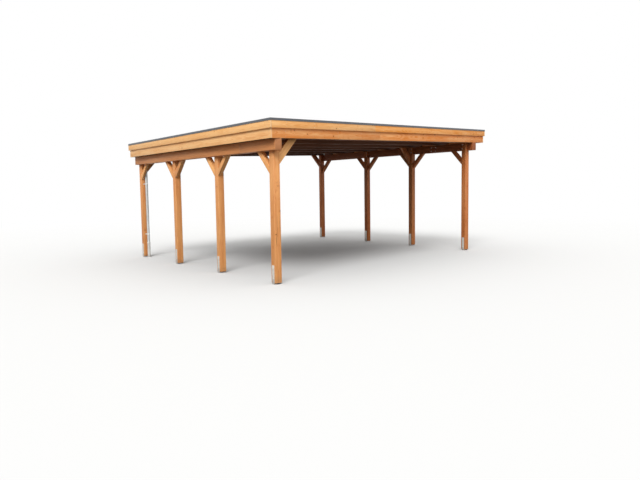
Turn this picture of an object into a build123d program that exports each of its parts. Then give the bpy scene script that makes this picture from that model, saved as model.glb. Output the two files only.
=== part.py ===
from build123d import *
import os
from math import cos, radians, sqrt, tan

# Timber carport for two cars: eight posts in steel anchors, two lapped side beams with
# knee braces, joists from side to side, and a flat roof behind a stepped timber fascia.
# X runs across the carport, Y along the post rows away from the garden side, Z up.
# The origin lies on the ground under the middle of the roof. All sizes are millimetres.

# Plan. The front and rear edges follow the plot, so the roof is a parallelogram in plan:
# both edges run back by this angle towards the right, and the post rows stay parallel to Y.
plan_skew_angle = 11.3
clear_width = 6000.0
left_post_pitch = 1800.0
posts_per_row = 4
right_post_pitch = 1700.0
right_last_setback = 60.0
left_overhang = 160.0
right_overhang = 470.0
front_overhang = 160.0
rear_overhang = 120.0

# Heights. The roof falls towards the left row; the seat is the underside of the joists
# over the outer face of the left posts.
joist_seat_height = 2262.0
roof_fall_angle = 2.2

# Posts and their steel anchors
post_size = 120.0
post_chamfer = 5.0
post_lap_depth = 60.0
anchor_plate_width = 60.0
anchor_plate_thickness = 6.0
anchor_plate_height = 300.0
anchor_corner_radius = 8.0
anchor_seat_height = 20.0
anchor_seat_thickness = 8.0

# Side beams, lapped over the outside of the posts, each in two lengths
beam_width = 120.0
beam_depth = 176.0
beam_chamfer = 5.0
beam_front_projection = 150.0
beam_rear_projection = 70.0
beam_joint_distance = 915.0
beam_joint_lap = 240.0

# Knee braces: along the rows under the beams, and across from some posts up to a joist
brace_width = 80.0
brace_depth = 80.0
brace_leg = 348.0
pipe_brace_width = 50.0
cross_brace_width = 60.0
cross_brace_depth = 128.0
cross_brace_leg = 405.0

# Roof
joist_width = 60.0
joist_depth = 200.0
joist_setback = 50.0
deck_thickness = 22.0
membrane_thickness = 2.0
kerb_width = 60.0
kerb_height = 75.0

# Fascia of two stepped boards under a metal drip flashing
board_thickness = 28.0
lower_board_height = 200.0
upper_board_start = 150.0
flashing_thickness = 2.0
flashing_face = 38.0
flashing_kick = 6.0
flashing_inner_leg = 20.0

# Rainwater: an outlet in the low rear corner, a downpipe, a standpipe and two clips
pipe_diameter = 60.0
pipe_wall = 1.5
pipe_beam_gap = 2.0
pipe_post_gap = 12.0
outlet_flange_radius = 55.0
outlet_flange_thickness = 3.0
outlet_spigot_length = 130.0
outlet_spigot_clearance = 0.4
pipe_top_gap = 8.0
standpipe_diameter = 66.0
standpipe_wall = 2.0
standpipe_height = 340.0
standpipe_collar_height = 22.0
standpipe_collar_rim = 4.0
pipe_entry_depth = 60.0
clip_band_thickness = 2.0
clip_band_height = 22.0
clip_spacer_width = 8.0
clip_strap_inset = 38.0
clip_heights = (520.0, 1650.0)

# Worked out from the sizes above
skew = tan(radians(plan_skew_angle))
skew_cos = cos(radians(plan_skew_angle))
fall = tan(radians(roof_fall_angle))
left_last_step = left_post_pitch * (posts_per_row - 1)
row_length = left_last_step + post_size
roof_width = left_overhang + 2 * post_size + clear_width + right_overhang
roof_length = front_overhang + row_length + rear_overhang
left_outer = -roof_width / 2 + left_overhang
right_outer = roof_width / 2 - right_overhang
deck_low = joist_depth
deck_high = deck_low + deck_thickness
kerb_high = deck_high + kerb_height
far_below = joist_seat_height + roof_width

# Stock starts above every post and beam, and a cutter reaches a little past what it cuts
stock_top = joist_seat_height + fall * roof_width
cutter_margin = 20.0

LEFT = -1
RIGHT = 1


def roof_z(x, height):
    """Level of a point that lies a given height over the plane under the joists."""
    return joist_seat_height + fall * (x - left_outer) + height


def front_line(x, offset=0.0):
    """Y of a line parallel to the roof's front edge, moved outwards by offset."""
    return skew * x - roof_length / 2 - offset / skew_cos


def rear_line(x, offset=0.0):
    """Y of a line parallel to the roof's rear edge, moved outwards by offset."""
    return skew * x + roof_length / 2 + offset / skew_cos


def side_x(side, offset=0.0):
    """X of the roof's left or right edge, moved outwards by offset."""
    return side * (roof_width / 2 + offset)


def roof_prism(corners, low, high):
    """Upright prism over plan corners, with its two ends parallel to the roof."""
    points = [Vector(x, y, roof_z(x, low)) for x, y in corners]
    base = Face(Wire.make_polygon(points, close=True))
    return Solid.extrude(base, Vector(0, 0, high - low))


def outline(offset):
    """Plan corners of the roof, moved outwards by offset."""
    corners = []
    for side, line in ((LEFT, front_line), (RIGHT, front_line), (RIGHT, rear_line), (LEFT, rear_line)):
        x = side_x(side, offset)
        corners.append((x, line(x, offset)))
    return corners


def crossing(line, near, far, x_start, x_end):
    """Plan corners of a strip parallel to the front edge between two offsets of a line."""
    return [
        (x_start, line(x_start, near)),
        (x_end, line(x_end, near)),
        (x_end, line(x_end, far)),
        (x_start, line(x_start, far)),
    ]


def along(side, inner, outer, end_offset):
    """Plan corners of a strip along a side, cut at both ends on the end faces' line."""
    x_inner = side_x(side, inner)
    x_outer = side_x(side, outer)
    return [
        (x_inner, front_line(x_inner, end_offset)),
        (x_outer, front_line(x_outer, end_offset)),
        (x_outer, rear_line(x_outer, end_offset)),
        (x_inner, rear_line(x_inner, end_offset)),
    ]


def block(x_a, x_b, y_a, y_b, z_a, z_b):
    """Box between opposite corners, given in any order."""
    size = (abs(x_b - x_a), abs(y_b - y_a), abs(z_b - z_a))
    centre = ((x_a + x_b) / 2, (y_a + y_b) / 2, (z_a + z_b) / 2)
    return Pos(*centre) * Box(*size)


def outer_face(side):
    """X of the outer face of a post row."""
    return left_outer if side == LEFT else right_outer


def inner_face(side):
    """X of the inner face of a post row."""
    return outer_face(side) - side * post_size


def row_front(side):
    """Y of the front face of a row's first post."""
    corner_x = left_outer if side == LEFT else inner_face(RIGHT)
    return front_line(corner_x, -front_overhang * skew_cos)


def post_steps(side):
    """Distances of a row's posts behind its first post."""
    if side == LEFT:
        return [left_post_pitch * place for place in range(posts_per_row)]
    steps = [right_post_pitch * place for place in range(posts_per_row - 1)]
    return steps + [left_last_step + right_last_setback]


def beam_centre(side):
    """X of the middle of a side beam, which laps over the outside of the posts."""
    return outer_face(side) - side * post_lap_depth + side * beam_width / 2


def beam_underside(side):
    """Level of the shoulders that carry a side beam."""
    return roof_z(beam_centre(side), 0) - beam_depth


def under_joists(x_a, x_b, y_a, y_b, z_low):
    """Upright block whose top is cut to the roof's fall under the joists."""
    stock = block(x_a, x_b, y_a, y_b, z_low, stock_top)
    corners = [(x_a, y_a), (x_b, y_a), (x_b, y_b), (x_a, y_b)]
    below = roof_prism(corners, -far_below, 0)
    return stock & below


def make_post(side, step):
    """Post with chamfered corners and a lap notch that leaves a tongue inside the beam."""
    y_front = row_front(side) + step
    outer = outer_face(side)
    post = under_joists(outer, inner_face(side), y_front, y_front + post_size, anchor_seat_height)
    post = chamfer(post.edges().filter_by(Axis.Z), post_chamfer)
    notch_inner = outer - side * post_lap_depth
    notch = block(
        outer + side * cutter_margin, notch_inner,
        y_front - cutter_margin, y_front + post_size + cutter_margin,
        beam_underside(side), stock_top,
    )
    return post - notch


def make_anchor(side, step):
    """H-shaped steel anchor above the ground: two plates and the seat between them."""
    y_middle = row_front(side) + step + post_size / 2
    y_low = y_middle - anchor_plate_width / 2
    y_high = y_middle + anchor_plate_width / 2
    seat_low = anchor_seat_height - anchor_seat_thickness
    x_a = outer_face(side)
    x_b = inner_face(side)
    anchor = block(x_a, x_b, y_low, y_high, seat_low, anchor_seat_height)
    for face, outwards in ((x_a, side), (x_b, -side)):
        far = face + outwards * anchor_plate_thickness
        plate = block(face, far, y_low, y_high, 0, anchor_plate_height)
        top_corners = plate.edges().filter_by(Axis.X).group_by(Axis.Z)[-1]
        anchor += fillet(top_corners, anchor_corner_radius)
    return anchor


def make_beam(side):
    """Side beam cut in two lengths with an upright half-lap joint between the first posts."""
    middle = beam_centre(side)
    x_a = middle - beam_width / 2
    x_b = middle + beam_width / 2
    y_start = row_front(side) - beam_front_projection
    y_end = row_front(side) + row_length + beam_rear_projection
    low = beam_underside(side)
    beam = under_joists(x_a, x_b, y_start, y_end, low)
    lower_edges = beam.edges().filter_by(Axis.Y).group_by(Axis.Z)[0]
    beam = chamfer(lower_edges, beam_chamfer)
    joint = row_front(side) + beam_joint_distance
    reach = beam_width / 2 + cutter_margin
    front_stock = block(middle, middle + side * reach, y_start, joint, low, stock_top)
    front_stock += block(middle, middle - side * reach, y_start, joint + beam_joint_lap, low, stock_top)
    return beam & front_stock, beam - front_stock


def make_row_brace(side, step, towards, width):
    """Knee brace from a post up to the beam, flush with the post's outer face."""
    y_post = row_front(side) + step + (post_size if towards > 0 else 0)
    corner = beam_underside(side)
    cut = brace_depth * sqrt(2)
    outer = outer_face(side)
    points = [
        Vector(outer, y_post, corner - brace_leg),
        Vector(outer, y_post + towards * brace_leg, corner),
        Vector(outer, y_post + towards * (brace_leg - cut), corner),
        Vector(outer, y_post, corner - brace_leg + cut),
    ]
    face = Face(Wire.make_polygon(points, close=True))
    return Solid.extrude(face, Vector(-side * width, 0, 0))


def make_cross_brace(side, line_offset):
    """Knee brace from a post's inner face up to the joist that runs over the post."""
    x_post = inner_face(side)
    inwards = -side
    cut = cross_brace_depth * sqrt(2)

    def point(run, drop):
        x = x_post + inwards * run
        return Vector(x, skew * x + line_offset, roof_z(x, 0) - drop)

    shoulder = cross_brace_leg - cut
    points = [point(0, cross_brace_leg), point(cross_brace_leg, 0), point(shoulder, 0), point(0, shoulder)]
    face = Face(Wire.make_polygon(points, close=True))
    return Solid.extrude(face, Vector(0, cross_brace_width / skew_cos, 0))


front_joist_line = row_front(LEFT) - skew * left_outer
rear_joist_line = front_joist_line + left_last_step + joist_setback


def joist_over(place):
    """Line of the joist that runs over the right post at this place in its row."""
    if place == 0:
        return front_joist_line
    if place == posts_per_row - 1:
        return rear_joist_line
    return front_joist_line + right_post_pitch * place + joist_setback


def joist_lines():
    """Lines of all joists: one over each right post, and one midway in each bay."""
    over_posts = [joist_over(place) for place in range(posts_per_row)]
    midway = [(near + far) / 2 for near, far in zip(over_posts, over_posts[1:])]
    return over_posts + midway


def cross_brace_places(side):
    """Posts of a row that have a brace up to their joist."""
    last = posts_per_row - 1
    return (0, last) if side == LEFT else (1, last)


def make_joist(line_offset):
    """Joist from side board to side board, its front face on the given line."""
    x_start = side_x(LEFT, -board_thickness)
    x_end = side_x(RIGHT, -board_thickness)

    def line(x, offset):
        return skew * x + line_offset + offset / skew_cos

    return roof_prism(crossing(line, 0, joist_width, x_start, x_end), 0, joist_depth)


def make_rim_joist(line):
    """Joist straight behind the front or rear boards."""
    strip = crossing(
        line, -board_thickness, -board_thickness - joist_width,
        side_x(LEFT, -board_thickness), side_x(RIGHT, -board_thickness),
    )
    return roof_prism(strip, 0, joist_depth)


def make_side_board(side, inner, outer, low, high):
    """Board along a side; its end grain shows on the front and rear."""
    return roof_prism(along(side, inner, outer, outer), low, high)


def make_end_board(line, inner, outer, low, high):
    """Board along the front or rear, fitted between the side boards."""
    strip = crossing(line, inner, outer, side_x(LEFT, inner), side_x(RIGHT, inner))
    return roof_prism(strip, low, high)


def make_flashing(line_a, side_a, line_b, side_b):
    """Drip flashing over the fascia and kerb, mitred between two corners of the roof."""
    top = kerb_high + flashing_thickness
    face_bottom = top - flashing_face
    outer = board_thickness + flashing_thickness
    inner = -kerb_width - membrane_thickness
    profile = [
        (outer, top),
        (outer, face_bottom + flashing_kick),
        (outer + flashing_kick, face_bottom),
        (board_thickness + flashing_kick, face_bottom),
        (board_thickness, face_bottom + flashing_kick),
        (board_thickness, kerb_high),
        (inner, kerb_high),
        (inner, top - flashing_inner_leg),
        (inner - flashing_thickness, top - flashing_inner_leg),
        (inner - flashing_thickness, top),
    ]
    ends = []
    for line, side in ((line_a, side_a), (line_b, side_b)):
        points = []
        for offset, height in profile:
            x = side_x(side, offset)
            points.append(Vector(x, line(x, offset), roof_z(x, height)))
        ends.append(Face(Wire.make_polygon(points, close=True)))
    return loft(ends, ruled=True)


pipe_radius = pipe_diameter / 2
pipe_x = beam_centre(LEFT) + beam_width / 2 + pipe_beam_gap + pipe_radius
pipe_y = row_front(LEFT) + left_last_step - pipe_post_gap - pipe_radius
spigot_radius = pipe_radius - pipe_wall - outlet_spigot_clearance


def upright(radius, low, high):
    """Cylinder on the downpipe's axis between two levels."""
    return Pos(pipe_x, pipe_y, (low + high) / 2) * Cylinder(radius, high - low)


def make_deck():
    """Boarded deck over the joists and side boards, with the outlet's hole."""
    deck = roof_prism(outline(0), deck_low, deck_high)
    return deck - upright(spigot_radius, 0, far_below)


def make_membrane():
    """Roofing sheet on the deck, turned up against the kerbs."""
    tray = roof_prism(outline(-kerb_width), deck_high, kerb_high)
    hollow = outline(-kerb_width - membrane_thickness)
    tray -= roof_prism(hollow, deck_high + membrane_thickness, kerb_high + kerb_height)
    return tray - upright(spigot_radius, 0, far_below)


def make_outlet():
    """Outlet: a flange on the sheet that follows the fall, and a spigot into the downpipe."""
    sheet_top = deck_high + membrane_thickness
    reach = outlet_flange_radius * 2
    corners = [
        (pipe_x - reach, pipe_y - reach), (pipe_x + reach, pipe_y - reach),
        (pipe_x + reach, pipe_y + reach), (pipe_x - reach, pipe_y + reach),
    ]
    layer = roof_prism(corners, sheet_top, sheet_top + outlet_flange_thickness)
    flange = layer & upright(outlet_flange_radius, 0, far_below)
    spigot_low = roof_z(pipe_x, sheet_top) - outlet_spigot_length
    below = roof_prism(corners, -far_below, sheet_top + outlet_flange_thickness)
    spigot = upright(spigot_radius, spigot_low, far_below) & below
    bore = upright(spigot_radius - pipe_wall, 0, far_below)
    return flange + spigot - bore


def make_downpipe():
    """Thin round pipe from under the deck down into the standpipe."""
    top = roof_z(pipe_x, deck_low) - pipe_top_gap
    low = standpipe_height - pipe_entry_depth
    return upright(pipe_radius, low, top) - upright(pipe_radius - pipe_wall, low, top)


def make_standpipe():
    """Wider pipe in the ground with a collar that closes around the downpipe."""
    radius = standpipe_diameter / 2
    collar_low = standpipe_height - standpipe_collar_height
    pipe = upright(radius, 0, standpipe_height)
    pipe += upright(radius + standpipe_collar_rim, collar_low, standpipe_height)
    pipe -= upright(radius - standpipe_wall, 0, collar_low)
    return pipe - upright(pipe_radius, collar_low, standpipe_height)


def make_clip(height):
    """Band around the downpipe with a spacer and a strap on the post's front face."""
    y_post = pipe_y + pipe_radius + pipe_post_gap
    low = height - clip_band_height / 2
    high = height + clip_band_height / 2
    band_radius = pipe_radius + clip_band_thickness
    spacer_end = pipe_x + clip_spacer_width / 2
    spacer = block(spacer_end - clip_spacer_width, spacer_end, pipe_y, y_post, low, high)
    strap_start = outer_face(LEFT) + clip_strap_inset
    strap = block(strap_start, spacer_end, y_post - clip_band_thickness, y_post, low, high)
    clip = upright(band_radius, low, high) + spacer + strap
    return clip - upright(pipe_radius, low, high)


parts = {}

for side, row in ((LEFT, "left"), (RIGHT, "right")):
    anchors = []
    last = posts_per_row - 1
    for place, step in enumerate(post_steps(side)):
        parts[f"{row}_post_{place + 1}"] = make_post(side, step)
        anchors.append(make_anchor(side, step))
        braces = []
        beside_pipe = side == LEFT and place == last
        if place > 0:
            width = pipe_brace_width if beside_pipe else brace_width
            braces.append(make_row_brace(side, step, -1, width))
        if place < last:
            braces.append(make_row_brace(side, step, 1, brace_width))
        if place in cross_brace_places(side):
            braces.append(make_cross_brace(side, joist_over(place)))
        parts[f"{row}_braces_{place + 1}"] = Compound(children=braces)
    parts[f"{row}_anchors"] = Compound(children=anchors)
    front_length, rear_length = make_beam(side)
    parts[f"{row}_beam_front"] = front_length
    parts[f"{row}_beam_rear"] = rear_length
    parts[f"{row}_lower_fascia"] = make_side_board(side, -board_thickness, 0, 0, lower_board_height)
    parts[f"{row}_upper_fascia"] = make_side_board(side, 0, board_thickness, upper_board_start, kerb_high)

parts["joists"] = Compound(children=[make_joist(line) for line in joist_lines()])

for line, end in ((front_line, "front"), (rear_line, "rear")):
    parts[f"{end}_rim_joist"] = make_rim_joist(line)
    parts[f"{end}_lower_fascia"] = make_end_board(line, -board_thickness, 0, 0, lower_board_height)
    parts[f"{end}_upper_fascia"] = make_end_board(line, 0, board_thickness, upper_board_start, kerb_high)

side_kerbs = [make_side_board(side, -kerb_width, 0, deck_high, kerb_high) for side in (LEFT, RIGHT)]
end_kerbs = [make_end_board(line, -kerb_width, 0, deck_high, kerb_high) for line in (front_line, rear_line)]
parts["side_kerbs"] = Compound(children=side_kerbs)
parts["end_kerbs"] = Compound(children=end_kerbs)

parts["front_flashing"] = make_flashing(front_line, LEFT, front_line, RIGHT)
parts["right_flashing"] = make_flashing(front_line, RIGHT, rear_line, RIGHT)
parts["rear_flashing"] = make_flashing(rear_line, RIGHT, rear_line, LEFT)
parts["left_flashing"] = make_flashing(rear_line, LEFT, front_line, LEFT)

parts["roof_deck"] = make_deck()
parts["roof_membrane"] = make_membrane()
parts["roof_outlet"] = make_outlet()
parts["downpipe"] = make_downpipe()
parts["standpipe"] = make_standpipe()
parts["pipe_clips"] = Compound(children=[make_clip(height) for height in clip_heights])

os.makedirs("parts", exist_ok=True)
for name, shape in parts.items():
    export_step(shape, f"parts/{name}.step")
print(len(parts), "nodes written")
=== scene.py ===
# %% [markdown]
# # A timber carport, dressed for the studio
# The carport arrives as plain solids at their real size: posts in steel anchors, two side
# beams, joists, a boarded flat roof and a stepped fascia. This lesson gives each of them the
# finish and the small parts that the real one has. Nothing is moved or resized: each solid
# gives way to a finer piece that stands in exactly the same place.

import math
import random

import bmesh
import bpy
from mathutils import Matrix, Vector


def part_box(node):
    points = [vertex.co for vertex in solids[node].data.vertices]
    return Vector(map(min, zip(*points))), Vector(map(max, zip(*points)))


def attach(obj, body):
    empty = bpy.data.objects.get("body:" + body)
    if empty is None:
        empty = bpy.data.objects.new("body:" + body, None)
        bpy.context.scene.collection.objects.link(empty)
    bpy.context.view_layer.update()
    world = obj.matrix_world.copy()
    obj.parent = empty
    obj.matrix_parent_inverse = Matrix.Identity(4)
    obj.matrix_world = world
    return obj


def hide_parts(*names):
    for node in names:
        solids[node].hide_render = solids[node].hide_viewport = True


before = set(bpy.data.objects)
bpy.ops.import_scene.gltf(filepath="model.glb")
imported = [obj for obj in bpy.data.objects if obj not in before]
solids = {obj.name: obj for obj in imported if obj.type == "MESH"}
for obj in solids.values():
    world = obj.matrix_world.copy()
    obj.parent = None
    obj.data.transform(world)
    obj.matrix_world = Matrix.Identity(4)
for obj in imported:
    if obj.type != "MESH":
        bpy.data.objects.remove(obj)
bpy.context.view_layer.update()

# %% [markdown]
# ## Where things are
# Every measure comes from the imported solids, so this script follows them when they change.
# The roof is a parallelogram in plan and falls to one side. Two slopes describe it: how far
# its front edge runs back, and how far the roof drops, for each metre across.

# %% Read the roof's shape from its solids
LEFT, RIGHT = -1, 1
FRONT, REAR = -1, 1
LOW, HIGH = -1, 1
SQUARE = ((-1, -1), (1, -1), (1, 1), (-1, 1))
WELD = 1e-5
MM = 0.001


def in_mm(*points):
    """Points in metres, from points in millimetres."""
    return [tuple(value * MM for value in point) for point in points]


def corner(node, side, end, level):
    """Corner of a solid at its left or right edge, its front or rear end, low or high."""
    points = [vertex.co for vertex in solids[node].data.vertices]
    reach = max(side * point.x for point in points) - WELD
    points = [point for point in points if side * point.x > reach]
    reach = max(end * point.y for point in points) - WELD
    points = [point for point in points if end * point.y > reach]
    return max(points, key=lambda point: level * point.z).copy()


deck_front_left = corner("roof_deck", LEFT, FRONT, HIGH)
deck_front_right = corner("roof_deck", RIGHT, FRONT, HIGH)
deck_rear_left = corner("roof_deck", LEFT, REAR, HIGH)
across = deck_front_right - deck_front_left
skew = across.y / across.x
fall = across.z / across.x
skew_cos = math.cos(math.atan(skew))
half_width = across.x / 2
half_length = (deck_rear_left.y - deck_front_left.y) / 2
deck_middle = (deck_front_left.z + deck_front_right.z) / 2
print("skew", round(skew, 4), "fall", round(fall, 4))
print("half width", round(half_width, 3), "half length", round(half_length, 3))


# %% Points on the roof
def roof_z(x, height):
    """Level of a point at a height over the top of the deck boards."""
    return deck_middle + fall * x + height


def edge_x(side, outwards=0.0):
    """X of the roof's left or right edge, moved outwards."""
    return side * (half_width + outwards)


def edge_y(end, x, outwards=0.0):
    """Y of the roof's front or rear edge at x, moved outwards at right angles to it."""
    return skew * x + end * (half_length + outwards / skew_cos)


print("roof edge from", round(edge_x(LEFT), 3), "to", round(edge_x(RIGHT), 3))

# %% [markdown]
# ## Making a piece
# A mesh is built in bmesh, then turned into an object that rides on the carport's one body.
# Shading is smooth over round parts and sharp over real edges, set by the angle between
# faces, so a bolt head and a board can share the same few lines.

# %% Helpers that turn a mesh into a piece
body = "root"
finishes = {}
triangles = {}


def make_piece(name, mesh_work, finish, replaces=(), smooth_angle=32.0):
    """Object from a bmesh, riding on the carport, in place of the named solids."""
    bmesh.ops.recalc_face_normals(mesh_work, faces=mesh_work.faces)
    mesh = bpy.data.meshes.new(name)
    mesh_work.to_mesh(mesh)
    mesh_work.free()
    for polygon in mesh.polygons:
        polygon.use_smooth = True
    mesh.set_sharp_from_angle(angle=math.radians(smooth_angle))
    mesh.materials.append(finishes[finish])
    piece = bpy.data.objects.new(name, mesh)
    bpy.context.scene.collection.objects.link(piece)
    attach(piece, body)
    if replaces:
        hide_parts(*replaces)
    triangles[name] = sum(len(polygon.vertices) - 2 for polygon in mesh.polygons)
    print(name, triangles[name], "triangles")


def islands(mesh_work):
    """Groups of vertices joined by edges, one group for each separate solid."""
    waiting = set(mesh_work.verts)
    groups = []
    for first in mesh_work.verts:
        if first not in waiting:
            continue
        waiting.discard(first)
        group = []
        queue = [first]
        while queue:
            vertex = queue.pop()
            group.append(vertex)
            for edge in vertex.link_edges:
                other = edge.other_vert(vertex)
                if other in waiting:
                    waiting.discard(other)
                    queue.append(other)
        groups.append(group)
    return groups


def centre_of(group):
    """Middle of a group of vertices."""
    return sum((vertex.co for vertex in group), Vector()) / len(group)


def join_rings(mesh_work, ring, after):
    """Faces between two rings of vertices; either ring may be a single point."""
    count = max(len(ring), len(after))
    for place in range(count):
        follow = (place + 1) % count
        loop = [ring[place % len(ring)], ring[follow % len(ring)]]
        loop += [after[follow % len(after)], after[place % len(after)]]
        mesh_work.faces.new(list(dict.fromkeys(loop)))


print("pieces ride on the body", body)

# %% [markdown]
# ## Writing shader nodes
# A material here is a small tree of nodes. Writing each node and link by hand takes many
# lines, so a helper adds a node, sets its options and feeds its sockets in one call. Effects
# that several finishes share are node groups with named sockets.

# %% A short way to write nodes
def srgb(red, green, blue):
    """Linear colour for shader sockets from the 0 to 255 values that a screen shows."""
    shares = [value / 255 for value in (red, green, blue)]
    linear = [s / 12.92 if s <= 0.04045 else ((s + 0.055) / 1.055) ** 2.4 for s in shares]
    return (*linear, 1.0)


class Wiring:
    """Adds nodes to one shader tree in short lines."""

    def __init__(self, tree):
        self.tree = tree

    def feed(self, socket, value):
        if isinstance(value, bpy.types.NodeSocket):
            self.tree.links.new(value, socket)
        else:
            socket.default_value = value

    def node(self, kind, inputs, output=0, **options):
        made = self.tree.nodes.new("ShaderNode" + kind)
        for option, value in options.items():
            setattr(made, option, value)
        for place, value in inputs.items():
            self.feed(made.inputs[place], value)
        return made.outputs[output]

    def math(self, operation, *values):
        return self.node("Math", dict(enumerate(values)), operation=operation)

    def times(self, first, second):
        return self.math("MULTIPLY", first, second)

    def plus(self, first, second):
        return self.math("ADD", first, second)

    def minus(self, first, second):
        return self.math("SUBTRACT", first, second)

    def split(self, vector):
        made = self.tree.nodes.new("ShaderNodeSeparateXYZ")
        self.feed(made.inputs[0], vector)
        return made.outputs

    def stretch(self, vector, x, y, z):
        return self.node("VectorMath", {0: vector, 1: (x, y, z)}, operation="MULTIPLY")

    def noise(self, vector, scale, detail=2.0, roughness=0.5):
        inputs = {"Vector": vector, "Scale": scale, "Detail": detail, "Roughness": roughness}
        return self.node("TexNoise", inputs)

    def fade(self, value, start, end, low=0.0, high=1.0):
        inputs = {"Value": value, "From Min": start, "From Max": end, "To Min": low, "To Max": high}
        return self.node("MapRange", inputs, interpolation_type="SMOOTHSTEP")

    def mix(self, factor, first, second, blend="MIX"):
        return self.node("Mix", {0: factor, 6: first, 7: second}, 2, data_type="RGBA", blend_type=blend)

    def attribute(self, name, output):
        return self.node("Attribute", {}, output, attribute_name=name)

    def bump(self, shader, height, strength):
        inputs = {"Height": height, "Distance": 1.0, "Strength": strength}
        self.feed(shader["Normal"], self.node("Bump", inputs))

    def place(self, group, inputs):
        made = self.tree.nodes.new("ShaderNodeGroup")
        made.node_tree = group
        for name, value in inputs.items():
            self.feed(made.inputs[name], value)
        return made.outputs


def new_group(name, inputs, outputs):
    """Node group with named sockets; returns it, its wiring, its inputs and its outputs."""
    group = bpy.data.node_groups.new(name, "ShaderNodeTree")
    for label, kind, value in inputs:
        socket = group.interface.new_socket(label, in_out="INPUT", socket_type="NodeSocket" + kind)
        socket.default_value = value
    for label, kind in outputs:
        group.interface.new_socket(label, in_out="OUTPUT", socket_type="NodeSocket" + kind)
    start = group.nodes.new("NodeGroupInput").outputs
    end = group.nodes.new("NodeGroupOutput").inputs
    return group, Wiring(group), start, end


def new_material(name):
    """Material with an empty tree but for its shader; returns it, its wiring and the shader."""
    material = bpy.data.materials.new(name)
    material.use_nodes = True
    shader = material.node_tree.nodes["Principled BSDF"]
    return material, Wiring(material.node_tree), shader.inputs


print("a screen's 128 is", round(srgb(128, 128, 128)[0], 3), "in a shader")

# %% [markdown]
# ## Timber
# The frame is softwood under a thin orange-brown stain. The stain lets the growth rings show,
# darkens where the wood drinks it, and lies thin on the eased edges. The rings of real wood
# are cylinders round its heart, so the texture is worked out in three dimensions from where
# each point lies in its own piece of timber: long faces then show grain, and sawn ends show
# rings, without any extra work. Each piece carries that position as a mesh attribute.

# %% Prepare a timber mesh
def timber_work(*nodes):
    """Bmesh of CAD solids with their flat faces merged, so that the edges can be eased."""
    mesh_work = bmesh.new()
    for node in nodes:
        mesh_work.from_mesh(solids[node].data)
    bmesh.ops.remove_doubles(mesh_work, verts=mesh_work.verts, dist=WELD)
    bmesh.ops.dissolve_limit(
        mesh_work, angle_limit=math.radians(0.5), verts=mesh_work.verts, edges=mesh_work.edges
    )
    return mesh_work


def ease_edges(mesh_work, width, segments=2, sharp_angle=20):
    """Round the sharp edges a little and mark the new faces as worn arrises."""
    arris = mesh_work.faces.layers.float.new("arris")
    least = math.radians(sharp_angle)
    sharp = [edge for edge in mesh_work.edges if edge.calc_face_angle(0.0) > least]
    made = bmesh.ops.bevel(
        mesh_work, geom=sharp, offset=width, offset_type="OFFSET", segments=segments,
        profile=0.5, affect="EDGES", clamp_overlap=True,
    )
    for face in made["faces"]:
        face[arris] = 1.0


def lay_grain(mesh_work, seed, heart=0.07, shade=None, drift=0.0):
    """Store where each point lies in its own piece, along the grain and across, and mark ends."""
    chance = random.Random(seed)
    wood = mesh_work.verts.layers.float_vector.new("wood")
    tone = mesh_work.verts.layers.float.new("tone")
    end_grain = mesh_work.faces.layers.float.new("end_grain")
    mesh_work.normal_update()
    for group in islands(mesh_work):
        edges = [edge for vertex in group for edge in vertex.link_edges]
        longest = max(edges, key=lambda edge: edge.calc_length())
        grain = (longest.verts[1].co - longest.verts[0].co).normalized()
        upright = abs(grain.z) > 0.9
        side = grain.cross(Vector((1, 0, 0) if upright else (0, 0, 1))).normalized()
        depth = grain.cross(side)
        middle = centre_of(group)
        start = chance.uniform(5, 60)
        heart_side = chance.choice((-1, 1)) * heart * chance.uniform(0.5, 1.5)
        heart_depth = chance.uniform(-0.5, 0.5) * heart
        tone_here = chance.random() if shade is None else shade + drift * middle.x
        for vertex in group:
            away = vertex.co - middle
            from_heart = (away.dot(side) + heart_side, away.dot(depth) + heart_depth)
            vertex[wood] = (away.dot(grain) + start, *from_heart)
            vertex[tone] = tone_here
        for face in {face for vertex in group for face in vertex.link_faces}:
            face[end_grain] = 1.0 if abs(face.normal.dot(grain)) > 0.8 else 0.0


work = timber_work("joists")
print("joists are", len(islands(work)), "solids with", len(work.faces), "faces")
work.free()

# %% [markdown]
# The figure of the wood is one node group. It wobbles the distance from the heart with noise,
# turns it into rings, pulls them round the knots, and adds streaks and drying cracks that run
# with the grain. Everything is in metres, so all timbers show wood of the same scale.

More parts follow.
